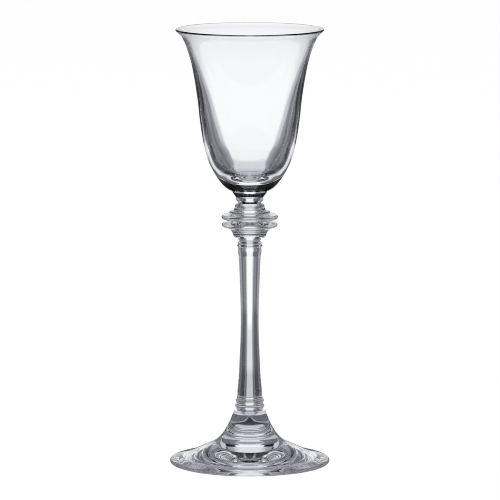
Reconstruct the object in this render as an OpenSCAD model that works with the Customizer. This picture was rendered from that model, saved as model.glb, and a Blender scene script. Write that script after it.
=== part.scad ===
// Cordial glass: a flared bowl on a ringed knop, a waisted stem and a wide foot.
// Seven pieces of clear glass stand on one another, joined face to face on flat seats.
// Only the stem's lower end differs: its round nose sits in a cup in the collar.
// Millimetres, +Z up. The axis is the Z axis and the foot rests on Z = 0.

/* [Bowl] */
// Outer diameter of the rim
rim_d = 59.2; // [54:0.2:66]
// Height of the bowl, from its seat on the neck to the rim
bowl_h = 64.4; // [58:0.5:76]
// Thickness of the glass at the rim
rim_wall = 1; // [0.8:0.05:1.4]
// Thickness of the glass under the cavity
bowl_base = 5.45; // [4.4:0.05:7]
// Diameter of the heel, where the underside of the bowl turns up
heel_d = 17; // [15.4:0.1:19]

/* [Neck] */
// Height of the neck under the bowl
neck_h = 5.5; // [4.5:0.1:7.5]
// Diameter of the neck's seat under the bowl
neck_top_d = 14.2; // [12:0.1:14.8]
// Diameter of the band round the middle of the neck
neck_band_d = 11; // [9.6:0.1:11.4]
// Diameter of the waist, where the neck stands on the upper ring
waist_d = 8.6; // [7.4:0.1:9.2]

/* [Upper ring] */
// Height of the upper ring, from its seat on the lower ring to the waist
upper_ring_h = 7.2; // [6.2:0.1:9]
// Outer diameter of the upper ring
upper_ring_d = 22.6; // [21.6:0.1:26]
// Thickness of the rounded edge of the upper ring
upper_edge = 1.8; // [1.6:0.1:2.2]
// Outer diameter of the step on top of the upper ring
step_d = 16.3; // [15.8:0.1:17.6]
// Thickness of the rounded edge of the step
step_edge = 1.2; // [1:0.1:1.4]
// Diameter of the narrow place under the step
step_neck_d = 14.6; // [13.6:0.1:15.2]
// Diameter of the crown where it rises from the step
crown_d = 12.9; // [11.2:0.1:13.4]

/* [Lower ring] */
// Height of the lower ring, from the top of the stem to the upper ring
lower_ring_h = 6.3; // [5.6:0.1:8]
// Outer diameter of the lower ring
lower_ring_d = 22.3; // [21.6:0.1:26]
// Thickness of the rounded edge of the lower ring
lower_edge = 1.7; // [1.5:0.1:2.1]
// Diameter of the seat between the two rings, at the bottom of the groove
groove_d = 15.6; // [14:0.1:18.6]
// Diameter of the flat underside of the lower ring
ring_base_d = 12.8; // [11.6:0.1:14.4]

/* [Stem] */
// Length of the stem between its two seats
stem_len = 62.4; // [54:0.1:76]
// Diameter of the stem's seat under the lower ring
stem_top_d = 8.4; // [7.2:0.1:8.8]
// Diameter of the shoulder below the top of the stem
shoulder_d = 10.3; // [9.6:0.1:11]
// Distance from the top of the stem down to the shoulder
shoulder_drop = 3.5; // [3:0.1:4.6]
// Diameter of the stem where it is slimmest
stem_slim_d = 7.25; // [6.4:0.05:8]
// Height of the slimmest place above the collar
slim_h = 28.5; // [22:0.5:36]
// Diameter of the stem's seat on the collar
stem_low_d = 9.9; // [9:0.1:10.2]
// Diameter of the round nose under the stem
nose_d = 4.7; // [3.6:0.1:6]
// Length of the round nose under the stem
nose_len = 3.3; // [2.4:0.1:4.4]

/* [Collar] */
// Height of the collar, from the foot to the stem
collar_h = 8; // [7.2:0.1:10]
// Diameter of the collar's seat on the foot
collar_seat_d = 10.4; // [9.4:0.1:10.8]
// Outer diameter of the lower bead
low_bead_d = 11.8; // [11.2:0.1:13]
// Outer diameter of the upper bead
high_bead_d = 11.4; // [11:0.1:13]
// Thickness of the lower bead
low_bead = 1.5; // [1.2:0.1:1.8]
// Thickness of the upper bead
high_bead = 1.3; // [1:0.1:1.6]
// Height of the middle of the lower bead above the foot
low_bead_rise = 1.75; // [1.2:0.05:2.1]
// Distance between the middles of the two beads
bead_pitch = 2.25; // [1.9:0.05:2.6]

/* [Foot] */
// Outer diameter of the foot
foot_d = 64.2; // [58:0.2:72]
// Height of the foot, from the table to the collar
foot_h = 21.2; // [17:0.2:28]
// Thickness of the rounded edge of the foot
foot_edge = 1.5; // [1.2:0.1:2.4]
// Diameter of the top of the foot, under the collar
foot_top_d = 12.4; // [11.6:0.1:13.4]
// Width of the flat ring that the foot rests on
rest_w = 4.7; // [2.5:0.1:8]
// Height of the hollow under the foot
hollow_h = 2.6; // [2:0.1:3.2]
// Diameter of the spot in the middle of the underside, where the foot was held
spot_d = 20.8; // [16:0.2:24]
// Height by which the middle of the spot swells below its edge
spot_swell = 0.25; // [0.1:0.05:0.4]

/* [Hidden] */
// Facets of a full turn
turn_facets = 96;
// Steps between two points of a smooth curve
curve_steps = 4;
// Degrees between two points of an arc
arc_step = 15;
// Clear glass, faintly cool
glass_colour = [0.87, 0.9, 0.93, 0.6];

// Heights of the seats, from the foot up
collar_z = foot_h;
stem_z = collar_z + collar_h;
lower_ring_z = stem_z + stem_len;
upper_ring_z = lower_ring_z + lower_ring_h;
neck_z = upper_ring_z + upper_ring_h;
bowl_z = neck_z + neck_h;
rim_z = bowl_z + bowl_h;

// Outside of the bowl, heel to rim: shares of the way out and of the bowl's height
side_shares = [
    [0, 0], [0.09, 0.023], [0.205, 0.07], [0.312, 0.13], [0.4, 0.195], [0.485, 0.31],
    [0.545, 0.44], [0.585, 0.56], [0.645, 0.69], [0.72, 0.81], [0.85, 0.93]
];
// Cavity of the bowl, bottom to rim: shares of the inner rim radius and of the depth
cavity_shares = [
    [0, 0], [0.166, 0.009], [0.28, 0.033], [0.356, 0.069], [0.422, 0.118], [0.483, 0.184],
    [0.533, 0.257], [0.598, 0.389], [0.65, 0.52], [0.715, 0.655], [0.788, 0.79], [0.89, 0.925]
];
// Angle at which the outside of the bowl runs into the round of the rim
lip_angle = -30;

// Side of the neck, waist to band: shares of the way out and of the neck's height
neck_low_shares = [[0, 0], [0.5, 0.11], [0.85, 0.2], [1, 0.34]];
// Side of the neck, band to bowl: shares of the way out and of the neck's height
neck_high_shares = [[0, 0.45], [0.25, 0.55], [0.62, 0.69], [0.94, 0.84], [1, 1]];

// Height of the step's middle as a share of what stands above the ring's rounded edge
step_share = 0.2;
// Side of the crown, step to waist: shares of the extra radius and of that height
crown_shares = [[1, 0], [0.93, 0.2], [0.8, 0.4], [0.77, 0.6], [0.6, 0.84], [0, 1]];
// Height of the rounded edge's middle as a share of the upper ring's height
upper_edge_share = 0.236;

// Heights on the lower ring, as shares of its whole height
lower_edge_share = 0.775;
// Underside of the lower ring: shares of the way out and of the height below the edge
under_shares = [[0, 0], [0.06, 0.2], [0.22, 0.52], [0.52, 0.79], [0.84, 0.92]];

// Stem, collar to slimmest place: shares of the extra radius and of that height
stem_low_shares = [[1, 0], [0.77, 0.1], [0.54, 0.24], [0.34, 0.45], [0.08, 0.73], [0, 1]];
// Stem, slimmest place to shoulder: shares of the extra radius and of that height
stem_high_shares = [
    [0, 0], [0.08, 0.27], [0.27, 0.54], [0.45, 0.77],
    [0.6, 0.87], [0.78, 0.93], [0.72, 0.978], [1, 1]
];
// Stem above the shoulder: shares of the extra radius and of that height
cap_shares = [
    [0.62, 0.08], [0.5, 0.2], [0.6, 0.34], [0.05, 0.46],
    [0, 0.58], [0.4, 0.7], [0.3, 0.84], [0, 1]
];

// Upper side of the foot, collar to edge: shares of the way out and of the height
flare_shares = [
    [0, 1], [0.04, 0.87], [0.08, 0.75], [0.18, 0.525], [0.31, 0.36],
    [0.49, 0.247], [0.75, 0.093]
];
// Angle at which the upper side of the foot runs into its rounded edge
foot_lip_angle = 75;
// How late the hollow turns down towards its rim, and the spot up towards its edge
hollow_bend = 2.6;
spot_bend = 3.7;

// Point beyond the start of a curve, in line with its first two points
function beyond(first, second) = 2 * first - second;

// Point between b and c on a smooth curve through a, b, c and d
function between(a, b, c, d, t) =
    (2 * b + (c - a) * t + (2 * a - 5 * b + 4 * c - d) * t * t + (3 * b - a - 3 * c + d) * t * t * t) / 2;

// Smooth curve through points, led in by the point before and out by the point after
function smooth(points, before, after) = [
    for (i = [0 : len(points) - 2])
        let (a = i == 0 ? before : points[i - 1])
        let (d = i == len(points) - 2 ? after : points[i + 2])
        for (k = [0 : curve_steps - 1])
            between(a, points[i], points[i + 1], d, k / curve_steps),
    points[len(points) - 1]
];

// Smooth curve that starts and ends straight
function smooth_open(points) =
    let (n = len(points))
    smooth(points, beyond(points[0], points[1]), beyond(points[n - 1], points[n - 2]));

// Arc about a centre, from one angle to another
function arc(centre, radius, from, to) =
    let (count = ceil(abs(to - from) / arc_step))
    [for (k = [0 : count])
        let (angle = from + (to - from) * k / count)
        centre + radius * [cos(angle), sin(angle)]];

// Points placed by shares between two radii and two heights
function placed(shares, r_from, r_to, z_from, z_to) =
    [for (s = shares) [r_from + (r_to - r_from) * s[0], z_from + (z_to - z_from) * s[1]]];

// The same points in the other order
function reversed(points) = [for (i = [len(points) - 1 : -1 : 0]) points[i]];

// Point on the round of the rim, at an angle about its middle
function lip_point(angle) =
    [rim_d / 2 - rim_wall / 2, rim_z - rim_wall / 2] + rim_wall / 2 * [cos(angle), sin(angle)];

// Outside of the bowl, from the heel up to the round of the rim
function bowl_side() =
    smooth_open(concat(placed(side_shares, heel_d / 2, rim_d / 2, bowl_z, rim_z), [lip_point(lip_angle)]));

// Cavity of the bowl, from its bottom up to the round of the rim
function cavity_side() =
    let (points = placed(cavity_shares, 0, rim_d / 2 - rim_wall, bowl_z + bowl_base, rim_z))
    let (all = concat(points, [lip_point(lip_angle + 180)]))
    let (n = len(all))
    smooth(all, [-all[1].x, all[1].y], beyond(all[n - 1], all[n - 2]));

// Round nose under the stem, from its edge down to its tip
function nose_side() =
    [for (k = [0 : 90 / arc_step])
        [nose_d / 2 * cos(k * arc_step), stem_z - nose_len * sin(k * arc_step)]];

// Solid of revolution with this outline on its right-hand side
module turned(outline) {
    color(glass_colour)
        rotate_extrude($fn = turn_facets)
            polygon(outline);
}

// Bowl: thin flared wall above, heavy rounded base below
module bowl() {
    turned(concat(
        [[0, bowl_z]],
        bowl_side(),
        arc([rim_d / 2 - rim_wall / 2, rim_z - rim_wall / 2], rim_wall / 2, lip_angle, lip_angle + 180),
        reversed(cavity_side())
    ));
}

// Neck: short banded button between the bowl and the upper ring
module neck() {
    turned(concat(
        [[0, neck_z]],
        smooth_open(placed(neck_low_shares, waist_d / 2, neck_band_d / 2, neck_z, bowl_z)),
        smooth_open(placed(neck_high_shares, neck_band_d / 2, neck_top_d / 2, neck_z, bowl_z)),
        [[0, bowl_z]]
    ));
}

// Upper ring: rounded edge below, then a thin step over a groove and a crown up to the waist
module upper_ring() {
    edge_r = upper_edge / 2;
    step_r = step_edge / 2;
    edge_z = upper_ring_z + upper_ring_h * upper_edge_share;
    top_z = edge_z + edge_r;
    step_z = top_z + (neck_z - top_z) * step_share;
    turned(concat(
        [[0, upper_ring_z], [groove_d / 2, upper_ring_z]],
        arc([upper_ring_d / 2 - edge_r, edge_z], edge_r, -75, 90),
        [[step_neck_d / 2, top_z]],
        arc([step_d / 2 - step_r, step_z], step_r, -75, 90),
        smooth_open(placed(crown_shares, waist_d / 2, crown_d / 2, step_z + step_r, neck_z)),
        [[0, neck_z]]
    ));
}

// Lower ring: spreading underside, then a rounded edge under the groove
module lower_ring() {
    edge_r = lower_edge / 2;
    edge_z = lower_ring_z + lower_ring_h * lower_edge_share;
    turned(concat(
        [[0, lower_ring_z]],
        smooth_open(placed(under_shares, ring_base_d / 2, lower_ring_d / 2 - edge_r, lower_ring_z, edge_z - edge_r)),
        arc([lower_ring_d / 2 - edge_r, edge_z], edge_r, -90, 75),
        [[groove_d / 2, upper_ring_z], [0, upper_ring_z]]
    ));
}

// Stem: waisted rod with a shoulder near the top and a round nose below
module stem() {
    shoulder_z = lower_ring_z - shoulder_drop;
    slim_z = stem_z + slim_h;
    low_side = placed(stem_low_shares, stem_slim_d / 2, stem_low_d / 2, stem_z, slim_z);
    high_side = placed(stem_high_shares, stem_slim_d / 2, shoulder_d / 2, slim_z, shoulder_z);
    shoulder_beyond = beyond(high_side[len(high_side) - 1], high_side[len(high_side) - 2]);
    cap_side = placed(cap_shares, stem_top_d / 2, shoulder_d / 2, shoulder_z, lower_ring_z);
    turned(concat(
        reversed(nose_side()),
        smooth(low_side, beyond(low_side[0], low_side[1]), high_side[1]),
        smooth(high_side, low_side[len(low_side) - 2], shoulder_beyond),
        smooth_open(cap_side),
        [[0, lower_ring_z]]
    ));
}

// Collar: double-beaded button with a cup for the stem's nose
module collar() {
    low_r = low_bead / 2;
    high_r = high_bead / 2;
    low_z = collar_z + low_bead_rise;
    high_z = low_z + bead_pitch;
    turned(concat(
        [[0, collar_z], [collar_seat_d / 2, collar_z]],
        arc([low_bead_d / 2 - low_r, low_z], low_r, -75, 75),
        arc([high_bead_d / 2 - high_r, high_z], high_r, -75, 75),
        [[stem_low_d / 2, (high_z + high_r + stem_z) / 2], [stem_low_d / 2, stem_z]],
        nose_side()
    ));
}

// Foot: wide disc that sweeps up to the collar, hollowed under the middle
module foot() {
    edge_r = foot_edge / 2;
    foot_r = foot_d / 2;
    edge_centre = [foot_r - edge_r, edge_r];
    lip = edge_centre + edge_r * [cos(foot_lip_angle), sin(foot_lip_angle)];
    flare = placed(flare_shares, foot_top_d / 2, lip.x, lip.y, foot_h);
    hollow_r = foot_r - edge_r - rest_w;
    spot_r = spot_d / 2;
    hollow_steps = 12;
    spot_steps = 8;
    hollow = [for (k = [0 : hollow_steps])
        let (r = hollow_r + (spot_r - hollow_r) * k / hollow_steps)
        [r, hollow_h * (1 - pow(r / hollow_r, hollow_bend))]];
    spot = [for (k = [1 : spot_steps])
        let (r = spot_r * (1 - k / spot_steps))
        [r, hollow[hollow_steps].y - spot_swell * (1 - pow(r / spot_r, spot_bend))]];
    turned(concat(
        [[0, foot_h]],
        smooth_open(concat(flare, [lip])),
        reversed(arc(edge_centre, edge_r, -90, foot_lip_angle)),
        hollow,
        spot
    ));
}

bowl();
neck();
upper_ring();
lower_ring();
stem();
collar();
foot();
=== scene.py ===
import math
import bpy
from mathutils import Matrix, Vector


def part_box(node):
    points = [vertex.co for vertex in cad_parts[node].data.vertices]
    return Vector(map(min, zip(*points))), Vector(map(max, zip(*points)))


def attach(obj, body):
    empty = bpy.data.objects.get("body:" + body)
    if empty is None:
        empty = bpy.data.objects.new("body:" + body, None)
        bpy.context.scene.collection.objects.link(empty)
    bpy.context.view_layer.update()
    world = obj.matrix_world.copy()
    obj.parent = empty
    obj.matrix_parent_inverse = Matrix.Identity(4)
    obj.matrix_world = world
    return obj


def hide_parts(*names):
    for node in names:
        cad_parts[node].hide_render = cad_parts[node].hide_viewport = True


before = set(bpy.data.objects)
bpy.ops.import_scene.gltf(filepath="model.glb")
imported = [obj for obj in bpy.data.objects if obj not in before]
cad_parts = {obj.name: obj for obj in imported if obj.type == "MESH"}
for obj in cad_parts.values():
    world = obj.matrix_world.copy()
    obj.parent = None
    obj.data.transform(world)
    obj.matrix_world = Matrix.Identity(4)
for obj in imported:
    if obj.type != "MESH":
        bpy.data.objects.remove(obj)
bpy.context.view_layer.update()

MM = 0.001
# Materials of a piece, by number: its surface, and the faces that are fused to a neighbour
SKIN, WELD = 0, 1

# Facets of a full turn of a lathed mesh
SEGMENTS = 192
# Steps between two points of a smooth curve
CURVE_STEPS = 8
# Degrees between two points of an arc
ARC_STEP = 7.5
# Steps across the hollow under the foot, and across the spot in its middle
HOLLOW_STEPS = 24
# Degrees from which an edge is shaded as a sharp one
SHARP_ANGLE = 32
# Millimetres within which two points are one
SAME_PLACE = 1e-6

# Sizes that the frame's boxes don't tell, in millimetres, named as in the CAD source
RIM_WALL = 1.0
BOWL_BASE = 5.45
HEEL_D = 17.0
NECK_BAND_D = 11.0
WAIST_D = 8.6
UPPER_EDGE = 1.8
STEP_D = 16.3
STEP_EDGE = 1.2
STEP_NECK_D = 14.6
CROWN_D = 12.9
LOWER_EDGE = 1.7
GROOVE_D = 15.6
RING_BASE_D = 12.8
STEM_TOP_D = 8.4
SHOULDER_DROP = 3.5
STEM_SLIM_D = 7.25
SLIM_H = 28.5
STEM_LOW_D = 9.9
NOSE_D = 4.7
COLLAR_SEAT_D = 10.4
HIGH_BEAD_D = 11.4
LOW_BEAD = 1.5
HIGH_BEAD = 1.3
LOW_BEAD_RISE = 1.75
BEAD_PITCH = 2.25
FOOT_EDGE = 1.5
FOOT_TOP_D = 12.4
REST_W = 4.7
HOLLOW_H = 2.6
SPOT_D = 20.8
SPOT_SWELL = 0.25

# Outside of the bowl, heel to rim: shares of the way out and of the bowl's height
SIDE_SHARES = [
    (0, 0), (0.09, 0.023), (0.205, 0.07), (0.312, 0.13), (0.4, 0.195), (0.485, 0.31),
    (0.545, 0.44), (0.585, 0.56), (0.645, 0.69), (0.72, 0.81), (0.85, 0.93),
]
# Cavity of the bowl, bottom to rim: shares of the inner rim radius and of the depth
CAVITY_SHARES = [
    (0, 0), (0.166, 0.009), (0.28, 0.033), (0.356, 0.069), (0.422, 0.118), (0.483, 0.184),
    (0.533, 0.257), (0.598, 0.389), (0.65, 0.52), (0.715, 0.655), (0.788, 0.79), (0.89, 0.925),
]
# Side of the neck, waist to band and band to bowl: shares of the way out and of its height
NECK_LOW_SHARES = [(0, 0), (0.5, 0.11), (0.85, 0.2), (1, 0.34)]
NECK_HIGH_SHARES = [(0, 0.45), (0.25, 0.55), (0.62, 0.69), (0.94, 0.84), (1, 1)]
# Side of the crown, step to waist: shares of the extra radius and of that height
CROWN_SHARES = [(1, 0), (0.93, 0.2), (0.8, 0.4), (0.77, 0.6), (0.6, 0.84), (0, 1)]
# Underside of the lower ring: shares of the way out and of the height below its edge
UNDER_SHARES = [(0, 0), (0.06, 0.2), (0.22, 0.52), (0.52, 0.79), (0.84, 0.92)]
# Stem, collar to slimmest place: shares of the extra radius and of that height
STEM_LOW_SHARES = [(1, 0), (0.77, 0.1), (0.54, 0.24), (0.34, 0.45), (0.08, 0.73), (0, 1)]
# Stem, slimmest place to shoulder: shares of the extra radius and of that height
STEM_HIGH_SHARES = [
    (0, 0), (0.08, 0.27), (0.27, 0.54), (0.45, 0.77),
    (0.6, 0.87), (0.78, 0.93), (0.72, 0.978), (1, 1),
]
# Stem above the shoulder: shares of the extra radius and of that height
CAP_SHARES = [
    (0.62, 0.08), (0.5, 0.2), (0.6, 0.34), (0.05, 0.46),
    (0, 0.58), (0.4, 0.7), (0.3, 0.84), (0, 1),
]
# Upper side of the foot, collar to edge: shares of the way out and of the height
FLARE_SHARES = [
    (0, 1), (0.04, 0.87), (0.08, 0.75), (0.18, 0.525), (0.31, 0.36), (0.49, 0.247), (0.75, 0.093),
]
# Height of an edge's middle as a share of its ring's height, and of the step's middle as a share
# of what stands above the upper ring's edge
UPPER_EDGE_SHARE = 0.236
LOWER_EDGE_SHARE = 0.775
STEP_SHARE = 0.2
# Degrees, about the middle of a rounded edge, at which the side of a piece runs into it
LIP_ANGLE = -30
EDGE_ANGLE = 75
FOOT_LIP_ANGLE = 75
# How late the hollow turns down towards its rim, and the spot up towards its edge
HOLLOW_BEND = 2.6
SPOT_BEND = 3.7

# Clear glass: colours of its tint, noise values between which wear sets in and the roughness it
# reaches, and strength and height in metres of the waves in the surface
GLASS_IOR = 1.5
TINT_DEEP = (0.99, 0.995, 0.997)
TINT_CLEAR = (0.997, 0.998, 1.0)
TINT_SCALE, TINT_DETAIL = 18.0, 2.0
WEAR_SCALE, WEAR_DETAIL = 220.0, 4.0
WEAR_FROM, WEAR_TO = 0.62, 0.8
WEAR_ROUGHNESS = 0.03
WAVE_SCALE, WAVE_DETAIL = 55.0, 1.0
WAVE_STRENGTH = 0.12
WAVE_HEIGHT = 0.0002
# Difference in noise between one piece and the next
SEED_STEP = 3.7

# Camera, fitted to the photograph: places in metres, sensor in millimetres, picture in pixels
CAMERA_DISTANCE = 1.6905
CAMERA_HEIGHT = 0.32444
AIM_HEIGHT = 0.086137
PIXELS = 500
FOCAL_PIXELS = 4264.335
AXIS_COLUMN = 249.7
SENSOR = 36.0
CLIP_RANGE = (0.05, 50.0)

# White panel, dark flags and soft boxes round the glass, which only the glass shows, in the
# world's walls; on the floor, painted glow and painted shade that only the glass shows, with the
# glass's painted shadow in the rows nearest the foot. A row of the walls holds up to an elevation
# in degrees, and a row of the floor up to a distance in metres. Its zones hold up to an azimuth in
# degrees, to either side of straight behind the glass, and give the brightness.
WALL_ROWS = [
    (8, [(10, 0.98), (14, 0.2), (38, 0.12), (70, 0.4), (180, 0.9)]),
    (16, [(14, 1.0), (28, 0.02), (40, 0.7), (70, 0.25), (90, 0.15), (120, 0.7), (180, 1.0)]),
    (34, [(10, 0.85), (14, 0.8), (18, 0.65), (28, 0.4), (120, 0.02), (180, 0.1)]),
    (50, [(120, 0.0), (180, 0.35)]),
    (90, [(10, 0.05), (14, 0.5), (18, 0.2), (180, 0.0)]),
]
# Painted light and shade on the floor, seen only in the glass: the floor glows at these levels,
# and the rows nearest the foot paint the glass's shadow round it
PAINTED_FLOOR_ROWS = [
    (0.014, [(18, 0.05), (28, 0.4), (70, 0.15), (180, 0.7)]),
    (0.028, [(10, 0.6), (18, 0.15), (70, 0.4), (180, 0.35)]),
    (0.07, [(10, 0.28), (38, 0.15), (120, 0.25), (180, 0.35)]),
    (0.17, [(10, 0.6), (14, 0.1), (18, 0.2), (38, 0.02), (70, 0.12), (180, 0.6)]),
    (0.33, [(10, 0.78), (14, 0.33), (18, 0.2), (28, 0.08), (40, 0.03), (70, 0.15), (180, 0.85)]),
    (0.45, [(10, 1.0), (14, 0.35), (18, 0.2), (28, 0.08), (40, 0.03), (70, 0.2), (180, 0.9)]),
    (3.0, [(10, 1.0), (14, 0.6), (28, 0.2), (38, 0.08), (70, 0.3), (180, 0.9)]),
]
# How far a row runs into the next, as a share of the limit between them, and how far a zone does,
# in degrees
WALL_SOFT = 0.05
PAINTED_FLOOR_SOFT = 0.1
ZONE_SOFT = 1.0
# Tint of a zone by its brightness, on the walls and in the floor's painted glow and painted shade
WALL_SHADES = [(0, (0.5, 0.9, 1.0)), (0.15, (0.85, 0.88, 1.0)), (1, (0.95, 0.965, 1.0))]
PAINTED_FLOOR_TINTS = [(0, (0.8, 0.84, 1.0)), (0.3, (0.88, 0.87, 1.0)), (1, (0.985, 0.985, 1.0))]
HALF_TURN = 180

# Floor: metres across, metres that it lies under the foot, colour, and share of it that glows
FLOOR_SIZE = 6.0
FLOOR_DROP = 0.00005
PAPER = (0.95, 0.95, 0.95, 1)
FLOOR_GLOW = 0.95
# Strength of the soft light all round
WORLD_LEVEL = 0.8
WHITE = (1, 1, 1, 1)
# Lamps: name, place and width in metres, and power in watts
LAMPS = [
    ("key", (-0.9, -0.9, 1.6), 0.9, 18.0),
    ("fill", (1.1, -0.5, 1.3), 0.9, 9.0),
]


def top(node):
    """Height of a CAD node's top, in millimetres."""
    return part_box(node)[1].z / MM


def bottom(node):
    """Height of a CAD node's lowest point, in millimetres."""
    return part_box(node)[0].z / MM


def reach(node):
    """Largest radius of a CAD node, in millimetres."""
    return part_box(node)[1].x / MM


COLLAR_Z = top("foot")
STEM_Z = top("collar")
LOWER_RING_Z = top("stem")
UPPER_RING_Z = top("lower_ring")
NECK_Z = top("upper_ring")
BOWL_Z = top("neck")
RIM_Z = top("bowl")
NOSE_LEN = STEM_Z - bottom("stem")
RIM_R = reach("bowl")
NECK_TOP_R = reach("neck")
UPPER_RING_R = reach("upper_ring")
LOWER_RING_R = reach("lower_ring")
SHOULDER_R = reach("stem")
LOW_BEAD_R = reach("collar")
FOOT_R = reach("foot")


def beyond(first, second):
    """Point beyond the first one, in line with both."""
    return (2 * first[0] - second[0], 2 * first[1] - second[1])


def between(a, b, c, d, t):
    """Point between b and c on the smooth curve through a, b, c and d."""
    return tuple(
        (2 * b[k] + (c[k] - a[k]) * t + (2 * a[k] - 5 * b[k] + 4 * c[k] - d[k]) * t * t
         + (3 * b[k] - a[k] - 3 * c[k] + d[k]) * t ** 3) / 2
        for k in (0, 1)
    )


def smooth(points, before=None, after=None):
    """Smooth curve through the points, straight at an end that has no point beyond it."""
    before = before or beyond(points[0], points[1])
    after = after or beyond(points[-1], points[-2])
    line = [before, *points, after]
    curve = [
        between(*line[i:i + 4], k / CURVE_STEPS)
        for i in range(len(points) - 1)
        for k in range(CURVE_STEPS)
    ]
    return curve + [points[-1]]


def arc(centre, radius, start, end):
    """Points of an arc about a centre, from one angle in degrees to another."""
    count = math.ceil(abs(end - start) / ARC_STEP)
    angles = [math.radians(start + (end - start) * k / count) for k in range(count + 1)]
    return [(centre[0] + radius * math.cos(a), centre[1] + radius * math.sin(a)) for a in angles]


def placed(shares, r_from, r_to, z_from, z_to):
    """Points placed by shares between two radii and two heights."""
    return [(r_from + (r_to - r_from) * s, z_from + (z_to - z_from) * t) for s, t in shares]


# An outline is the half of a piece's section, as runs of points that start and end on the axis,
# each with its material.

def bowl_outline():
    wall_r = RIM_WALL / 2
    lip = arc((RIM_R - wall_r, RIM_Z - wall_r), wall_r, LIP_ANGLE, LIP_ANGLE + HALF_TURN)
    outer = placed(SIDE_SHARES, HEEL_D / 2, RIM_R, BOWL_Z, RIM_Z)
    inner = placed(CAVITY_SHARES, 0, RIM_R - RIM_WALL, BOWL_Z + BOWL_BASE, RIM_Z)
    side = smooth(outer + [lip[0]])
    cavity = smooth(inner + [lip[-1]], before=(-inner[1][0], inner[1][1]))
    return [
        (WELD, [(0, BOWL_Z), (NECK_TOP_R, BOWL_Z)]),
        (SKIN, [(NECK_TOP_R, BOWL_Z)] + side + lip[1:] + cavity[::-1][1:]),
    ]


def neck_outline():
    low = smooth(placed(NECK_LOW_SHARES, WAIST_D / 2, NECK_BAND_D / 2, NECK_Z, BOWL_Z))
    high = smooth(placed(NECK_HIGH_SHARES, NECK_BAND_D / 2, NECK_TOP_R, NECK_Z, BOWL_Z))
    return [
        (WELD, [(0, NECK_Z), (WAIST_D / 2, NECK_Z)]),
        (SKIN, low + high),
        (WELD, [(NECK_TOP_R, BOWL_Z), (0, BOWL_Z)]),
    ]


def upper_ring_outline():
    edge_r = UPPER_EDGE / 2
    step_r = STEP_EDGE / 2
    edge_z = UPPER_RING_Z + (NECK_Z - UPPER_RING_Z) * UPPER_EDGE_SHARE
    top_z = edge_z + edge_r
    step_z = top_z + (NECK_Z - top_z) * STEP_SHARE
    edge = arc((UPPER_RING_R - edge_r, edge_z), edge_r, -EDGE_ANGLE, 90)
    step = arc((STEP_D / 2 - step_r, step_z), step_r, -EDGE_ANGLE, 90)
    crown = smooth(placed(CROWN_SHARES, WAIST_D / 2, CROWN_D / 2, step_z + step_r, NECK_Z))
    groove = [(GROOVE_D / 2, UPPER_RING_Z)]
    return [
        (WELD, [(0, UPPER_RING_Z)] + groove),
        (SKIN, groove + edge + [(STEP_NECK_D / 2, top_z)] + step + crown),
        (WELD, [(WAIST_D / 2, NECK_Z), (0, NECK_Z)]),
    ]


def lower_ring_outline():
    edge_r = LOWER_EDGE / 2
    edge_z = LOWER_RING_Z + (UPPER_RING_Z - LOWER_RING_Z) * LOWER_EDGE_SHARE
    edge = arc((LOWER_RING_R - edge_r, edge_z), edge_r, -90, EDGE_ANGLE)
    under = placed(
        UNDER_SHARES, RING_BASE_D / 2, LOWER_RING_R - edge_r, LOWER_RING_Z, edge_z - edge_r
    )
    seat = [(STEM_TOP_D / 2, LOWER_RING_Z)]
    groove = [(GROOVE_D / 2, UPPER_RING_Z)]
    return [
        (WELD, [(0, LOWER_RING_Z)] + seat),
        (SKIN, seat + smooth(under) + edge + groove),
        (WELD, groove + [(0, UPPER_RING_Z)]),
    ]


def nose_side():
    """Round nose under the stem, from its edge down to its tip."""
    quarter = arc((0, 0), 1, 0, 90)
    side = [(NOSE_D / 2 * x, STEM_Z - NOSE_LEN * y) for x, y in quarter]
    return side[:-1] + [(0, STEM_Z - NOSE_LEN)]


def stem_outline():
    shoulder_z = LOWER_RING_Z - SHOULDER_DROP
    slim_z = STEM_Z + SLIM_H
    low = placed(STEM_LOW_SHARES, STEM_SLIM_D / 2, STEM_LOW_D / 2, STEM_Z, slim_z)
    high = placed(STEM_HIGH_SHARES, STEM_SLIM_D / 2, SHOULDER_R, slim_z, shoulder_z)
    cap = placed(CAP_SHARES, STEM_TOP_D / 2, SHOULDER_R, shoulder_z, LOWER_RING_Z)
    side = smooth(low, after=high[1]) + smooth(high, before=low[-2])[1:] + smooth(cap)
    nose = nose_side()[::-1]
    return [
        (WELD, nose),
        (WELD, [nose[-1], (STEM_LOW_D / 2, STEM_Z)]),
        (SKIN, side),
        (WELD, [(STEM_TOP_D / 2, LOWER_RING_Z), (0, LOWER_RING_Z)]),
    ]


def collar_outline():
    low_z = COLLAR_Z + LOW_BEAD_RISE
    high_z = low_z + BEAD_PITCH
    low_r = LOW_BEAD / 2
    high_r = HIGH_BEAD / 2
    beads = arc((LOW_BEAD_R - low_r, low_z), low_r, -EDGE_ANGLE, EDGE_ANGLE)
    beads += arc((HIGH_BEAD_D / 2 - high_r, high_z), high_r, -EDGE_ANGLE, EDGE_ANGLE)
    seat = [(COLLAR_SEAT_D / 2, COLLAR_Z)]
    rise = [(STEM_LOW_D / 2, (high_z + high_r + STEM_Z) / 2), (STEM_LOW_D / 2, STEM_Z)]
    return [
        (WELD, [(0, COLLAR_Z)] + seat),
        (SKIN, seat + beads + rise),
        (WELD, [(STEM_LOW_D / 2, STEM_Z), (NOSE_D / 2, STEM_Z)]),
        (WELD, nose_side()),
    ]


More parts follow.
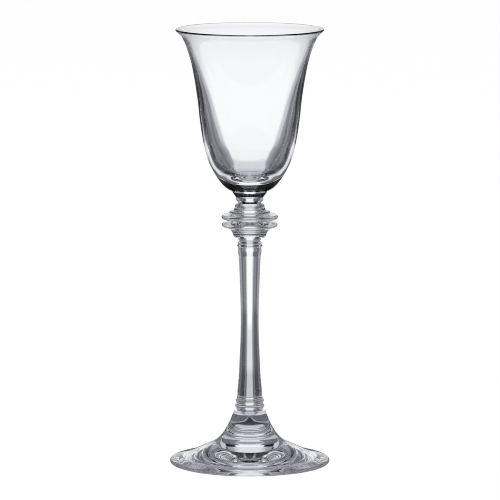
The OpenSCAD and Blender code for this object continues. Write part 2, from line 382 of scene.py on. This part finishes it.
def foot_outline():
    edge_r = FOOT_EDGE / 2
    hollow_r = FOOT_R - edge_r - REST_W
    spot_r = SPOT_D / 2
    steps = range(1, HOLLOW_STEPS + 1)
    edge = arc((FOOT_R - edge_r, edge_r), edge_r, FOOT_LIP_ANGLE, -90)
    flare = placed(FLARE_SHARES, FOOT_TOP_D / 2, edge[0][0], edge[0][1], COLLAR_Z)
    radii = [hollow_r] + [hollow_r + (spot_r - hollow_r) * k / HOLLOW_STEPS for k in steps]
    hollow = [(r, HOLLOW_H * (1 - (r / hollow_r) ** HOLLOW_BEND)) for r in radii]
    radii = [spot_r * (1 - k / HOLLOW_STEPS) for k in steps]
    spot = [(r, hollow[-1][1] - SPOT_SWELL * (1 - (r / spot_r) ** SPOT_BEND)) for r in radii]
    seat = [(COLLAR_SEAT_D / 2, COLLAR_Z)]
    skin = seat + smooth(flare + [edge[0]]) + edge[1:] + hollow + spot
    return [
        (SKIN, skin[::-1]),
        (WELD, seat + [(0, COLLAR_Z)]),
    ]


def joined(outline):
    """One line of points through an outline's runs, and the material of each of its steps."""
    line = [outline[0][1][0]]
    kinds = []
    for kind, points in outline:
        for point in points:
            if math.dist(point, line[-1]) > SAME_PLACE:
                line.append(point)
                kinds.append(kind)
    return line, kinds


def turned(line):
    """Vertices of a line turned about the axis, in metres, and the ring of them for each point."""
    turns = [math.tau * k / SEGMENTS for k in range(SEGMENTS)]
    verts = []
    rings = []
    for r, z in line:
        start = len(verts)
        if r < SAME_PLACE:
            verts.append((0.0, 0.0, z * MM))
            rings.append([start] * SEGMENTS)
        else:
            verts += [(r * MM * math.cos(a), r * MM * math.sin(a), z * MM) for a in turns]
            rings.append([start + k for k in range(SEGMENTS)])
    return verts, rings


def faces_between(rings, kinds):
    """Faces from each ring to the next, triangles at the axis, and the material of each face."""
    faces = []
    face_kinds = []
    for low, high, kind in zip(rings, rings[1:], kinds):
        for k in range(SEGMENTS):
            j = (k + 1) % SEGMENTS
            corners = dict.fromkeys((low[k], low[j], high[j], high[k]))
            if len(corners) > 2:
                faces.append(tuple(corners))
                face_kinds.append(kind)
    return faces, face_kinds


def in_scene(name, data):
    """New object with this data, linked to the scene."""
    item = bpy.data.objects.new(name, data)
    bpy.context.scene.collection.objects.link(item)
    return item


def lathed(name, outline, materials):
    """Closed mesh of revolution about the axis, from an outline in millimetres."""
    line, kinds = joined(outline)
    verts, rings = turned(line)
    faces, face_kinds = faces_between(rings, kinds)
    mesh = bpy.data.meshes.new(name)
    mesh.from_pydata(verts, [], faces)
    for material in materials:
        mesh.materials.append(material)
    mesh.polygons.foreach_set("material_index", face_kinds)
    mesh.shade_smooth()
    mesh.set_sharp_from_angle(angle=math.radians(SHARP_ANGLE))
    mesh.update()
    return in_scene(name, mesh)


def node_tree(owner):
    """Emptied node tree of a material or world."""
    owner.use_nodes = True
    tree = owner.node_tree
    tree.nodes.clear()
    return tree


def add(tree, kind, **values):
    """New node. Each value goes to the property of its name, or else to the input socket."""
    node = tree.nodes.new("ShaderNode" + kind)
    for key, value in values.items():
        if hasattr(node, key):
            setattr(node, key, value)
        else:
            node.inputs[key.replace("_", " ")].default_value = value
    return node


def ramp(tree, share, stops):
    """Colour by a share from 0 to 1, from stops of position and colour."""
    node = add(tree, "ValToRGB")
    elements = node.color_ramp.elements
    while len(elements) < len(stops):
        elements.new(0.5)
    while len(elements) > len(stops):
        elements.remove(elements[-1])
    for element, (position, _) in zip(elements, stops):
        element.position = position
    for element, (_, colour) in zip(elements, stops):
        element.color = (*colour, 1)
    tree.links.new(share, node.inputs["Fac"])
    return node.outputs["Color"]


def noise(tree, place, scale, detail, seed):
    """Noise by place, which differs from seed to seed."""
    node = add(tree, "TexNoise", noise_dimensions="4D", Scale=scale, Detail=detail, W=seed)
    tree.links.new(place, node.inputs["Vector"])
    return node.outputs["Fac"]


def glass_material(name, seed):
    """Clear glass: a trace of cool tint that drifts, a soft wave in the surface, faint wear."""
    material = bpy.data.materials.new(name)
    tree = node_tree(material)
    link = tree.links.new
    out = add(tree, "OutputMaterial")
    glass = add(tree, "BsdfPrincipled", IOR=GLASS_IOR, Transmission_Weight=1.0)
    wear = add(tree, "MapRange", From_Min=WEAR_FROM, From_Max=WEAR_TO, To_Max=WEAR_ROUGHNESS)
    wave = add(tree, "Bump", Strength=WAVE_STRENGTH, Distance=WAVE_HEIGHT)
    place = add(tree, "TexCoord").outputs["Object"]
    tint_noise = noise(tree, place, TINT_SCALE, TINT_DETAIL, seed)
    tint = ramp(tree, tint_noise, [(0, TINT_DEEP), (1, TINT_CLEAR)])
    link(noise(tree, place, WEAR_SCALE, WEAR_DETAIL, seed), wear.inputs["Value"])
    link(noise(tree, place, WAVE_SCALE, WAVE_DETAIL, seed), wave.inputs["Height"])
    link(tint, glass.inputs["Base Color"])
    link(wear.outputs["Result"], glass.inputs["Roughness"])
    link(wave.outputs["Normal"], glass.inputs["Normal"])
    link(glass.outputs["BSDF"], out.inputs["Surface"])
    return material


def weld_material():
    """Faces that are fused to a neighbour, where no surface is left to see."""
    material = bpy.data.materials.new("weld")
    tree = node_tree(material)
    out = add(tree, "OutputMaterial")
    clear = add(tree, "BsdfTransparent")
    tree.links.new(clear.outputs["BSDF"], out.inputs["Surface"])
    return material


OUTLINES = {
    "bowl": bowl_outline,
    "neck": neck_outline,
    "upper_ring": upper_ring_outline,
    "lower_ring": lower_ring_outline,
    "stem": stem_outline,
    "collar": collar_outline,
    "foot": foot_outline,
}


def make_glass():
    """The seven pieces, each in the place of its CAD node."""
    weld = weld_material()
    for number, (node, outline) in enumerate(OUTLINES.items()):
        name = "glass_" + node
        skin = glass_material(name, number * SEED_STEP)
        piece = lathed(name, outline(), [skin, weld])
        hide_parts(node)
        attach(piece, "root")


def aimed(item, place):
    """A camera or lamp put in its place and turned to the point that the camera looks at."""
    item.location = place
    aim = Vector((0.0, 0.0, AIM_HEIGHT)) - item.location
    item.rotation_mode = "QUATERNION"
    item.rotation_quaternion = aim.to_track_quat("-Z", "Y")
    return item


def make_camera():
    data = bpy.data.cameras.new("camera")
    data.sensor_width = SENSOR
    data.lens = FOCAL_PIXELS / PIXELS * SENSOR
    data.shift_x = (PIXELS / 2 - AXIS_COLUMN) / PIXELS
    data.clip_start, data.clip_end = CLIP_RANGE
    place = (0.0, -CAMERA_DISTANCE, CAMERA_HEIGHT)
    bpy.context.scene.camera = aimed(in_scene("camera", data), place)


def tinted(level, shades):
    """Colour of a zone of this brightness, with the tint between the two nearest shades."""
    for (low, first), (high, second) in zip(shades, shades[1:]):
        if level <= high:
            share = (level - low) / (high - low)
            return tuple(level * (a + (b - a) * share) for a, b in zip(first, second))


def zone_stops(zones, shades):
    """Stops of a ramp over half a turn, flat inside each zone and soft where two of them meet."""
    stops = [(0, tinted(zones[0][1], shades))]
    for (edge, level), (_, next_level) in zip(zones, zones[1:]):
        stops.append(((edge - ZONE_SOFT) / HALF_TURN, tinted(level, shades)))
        stops.append(((edge + ZONE_SOFT) / HALF_TURN, tinted(next_level, shades)))
    return stops


def azimuth(tree, place):
    """Angle to either side of straight behind the glass, as a share of half a turn."""
    link = tree.links.new
    axes = add(tree, "SeparateXYZ")
    angle = add(tree, "Math", operation="ARCTAN2")
    size = add(tree, "Math", operation="ABSOLUTE")
    share = add(tree, "MapRange", From_Max=math.pi)
    link(place, axes.inputs["Vector"])
    link(axes.outputs["X"], angle.inputs[0])
    link(axes.outputs["Y"], angle.inputs[1])
    link(angle.outputs[0], size.inputs[0])
    link(size.outputs[0], share.inputs["Value"])
    return share.outputs["Result"]


def elevation(tree, place):
    """Angle of a direction above the horizon, in degrees."""
    axes = add(tree, "SeparateXYZ")
    rise = add(tree, "Math", operation="ARCSINE")
    degrees = add(tree, "Math", operation="DEGREES")
    tree.links.new(place, axes.inputs["Vector"])
    tree.links.new(axes.outputs["Z"], rise.inputs[0])
    tree.links.new(rise.outputs[0], degrees.inputs[0])
    return degrees.outputs[0]


def studio_and_painted_floor_colour(tree, place, height, rows, soft, shades):
    """Colour by azimuth, for the row of zones that the height falls in: the studio's walls, and
    the floor's painted glow and painted shade.
    """
    link = tree.links.new
    share = azimuth(tree, place)
    colour = ramp(tree, share, zone_stops(rows[0][1], shades))
    for (edge, _), (_, zones) in zip(rows, rows[1:]):
        passed = add(tree, "MapRange", From_Min=edge * (1 - soft), From_Max=edge * (1 + soft))
        mix = add(tree, "MixRGB")
        link(height, passed.inputs["Value"])
        link(passed.outputs["Result"], mix.inputs["Fac"])
        link(colour, mix.inputs["Color1"])
        link(ramp(tree, share, zone_stops(zones, shades)), mix.inputs["Color2"])
        colour = mix.outputs["Color"]
    return colour


def in_glass(tree, path):
    """A factor that is 1 for what the glass shows, reflected in it or through it."""
    either = add(tree, "Math", operation="MAXIMUM")
    tree.links.new(path.outputs["Is Glossy Ray"], either.inputs[0])
    tree.links.new(path.outputs["Is Transmission Ray"], either.inputs[1])
    return either.outputs[0]


def mixed(tree, factor, first, second):
    """The first node's shader where the factor is 0, and the second's where it is 1."""
    mix = add(tree, "MixShader")
    tree.links.new(factor, mix.inputs["Fac"])
    tree.links.new(first.outputs[0], mix.inputs[1])
    tree.links.new(second.outputs[0], mix.inputs[2])
    return mix


def floor_material():
    """White paper for the camera; for the glass, painted glow and painted shade on it by zones,
    with the glass's painted shadow near the foot; open from below.
    """
    material = bpy.data.materials.new("floor")
    tree = node_tree(material)
    link = tree.links.new
    out = add(tree, "OutputMaterial")
    path = add(tree, "LightPath")
    side = add(tree, "NewGeometry")
    place = add(tree, "TexCoord").outputs["Object"]
    distance = add(tree, "VectorMath", operation="LENGTH")
    paper = add(tree, "BsdfDiffuse", Color=PAPER)
    white = add(tree, "Emission", Strength=1.0)
    # Painted glow and painted shade, with the glass's painted shadow near the foot, which only the
    # glass shows
    zones = add(tree, "Emission", Strength=1.0)
    clear = add(tree, "BsdfTransparent")
    glow = add(tree, "Math", operation="MULTIPLY")
    glow.inputs[1].default_value = FLOOR_GLOW
    link(place, distance.inputs[0])
    height = distance.outputs["Value"]
    colour = studio_and_painted_floor_colour(tree, place, height, PAINTED_FLOOR_ROWS, PAINTED_FLOOR_SOFT, PAINTED_FLOOR_TINTS)
    link(colour, zones.inputs["Color"])
    link(path.outputs["Is Camera Ray"], glow.inputs[0])
    lit = mixed(tree, glow.outputs[0], paper, white)
    shown = mixed(tree, in_glass(tree, path), lit, zones)
    whole = mixed(tree, side.outputs["Backfacing"], shown, clear)
    link(whole.outputs[0], out.inputs["Surface"])
    return material


def make_floor():
    half = FLOOR_SIZE / 2
    corners = [(-half, -half, 0), (half, -half, 0), (half, half, 0), (-half, half, 0)]
    mesh = bpy.data.meshes.new("floor")
    mesh.from_pydata(corners, [], [(0, 1, 2, 3)])
    mesh.materials.append(floor_material())
    floor = in_scene("floor", mesh)
    floor.location.z = -FLOOR_DROP


def make_world():
    """White for the camera, soft light for what is lit, and the studio's walls for the glass."""
    world = bpy.data.worlds.new("studio")
    bpy.context.scene.world = world
    tree = node_tree(world)
    link = tree.links.new
    out = add(tree, "OutputWorld")
    path = add(tree, "LightPath")
    place = add(tree, "TexCoord").outputs["Generated"]
    soft = add(tree, "Background", Color=WHITE, Strength=WORLD_LEVEL)
    white = add(tree, "Background", Color=WHITE, Strength=1.0)
    walls = add(tree, "Background", Strength=1.0)
    height = elevation(tree, place)
    colour = studio_and_painted_floor_colour(tree, place, height, WALL_ROWS, WALL_SOFT, WALL_SHADES)
    link(colour, walls.inputs["Color"])
    seen = mixed(tree, path.outputs["Is Camera Ray"], soft, white)
    whole = mixed(tree, in_glass(tree, path), seen, walls)
    link(whole.outputs[0], out.inputs["Surface"])


def make_lamp(name, place, width, power):
    """Square lamp, which lights the scene but isn't shown by the glass."""
    data = bpy.data.lights.new(name, "AREA")
    data.shape = "SQUARE"
    data.size = width
    data.energy = power
    lamp = aimed(in_scene(name, data), place)
    lamp.visible_glossy = False
    lamp.visible_transmission = False


def set_render():
    """Plain colours, and enough bounces for glass behind glass."""
    scene = bpy.context.scene
    scene.view_settings.view_transform = "Standard"
    cycles = scene.cycles
    cycles.max_bounces = 32
    cycles.transmission_bounces = 32
    cycles.glossy_bounces = 16
    cycles.transparent_max_bounces = 48
    cycles.diffuse_bounces = 2
    cycles.caustics_reflective = False
    cycles.caustics_refractive = False
    cycles.blur_glossy = 0.0
    cycles.filter_width = 1.0


make_glass()
make_camera()
make_floor()
make_world()
for name, place, width, power in LAMPS:
    make_lamp(name, place, width, power)
set_render()
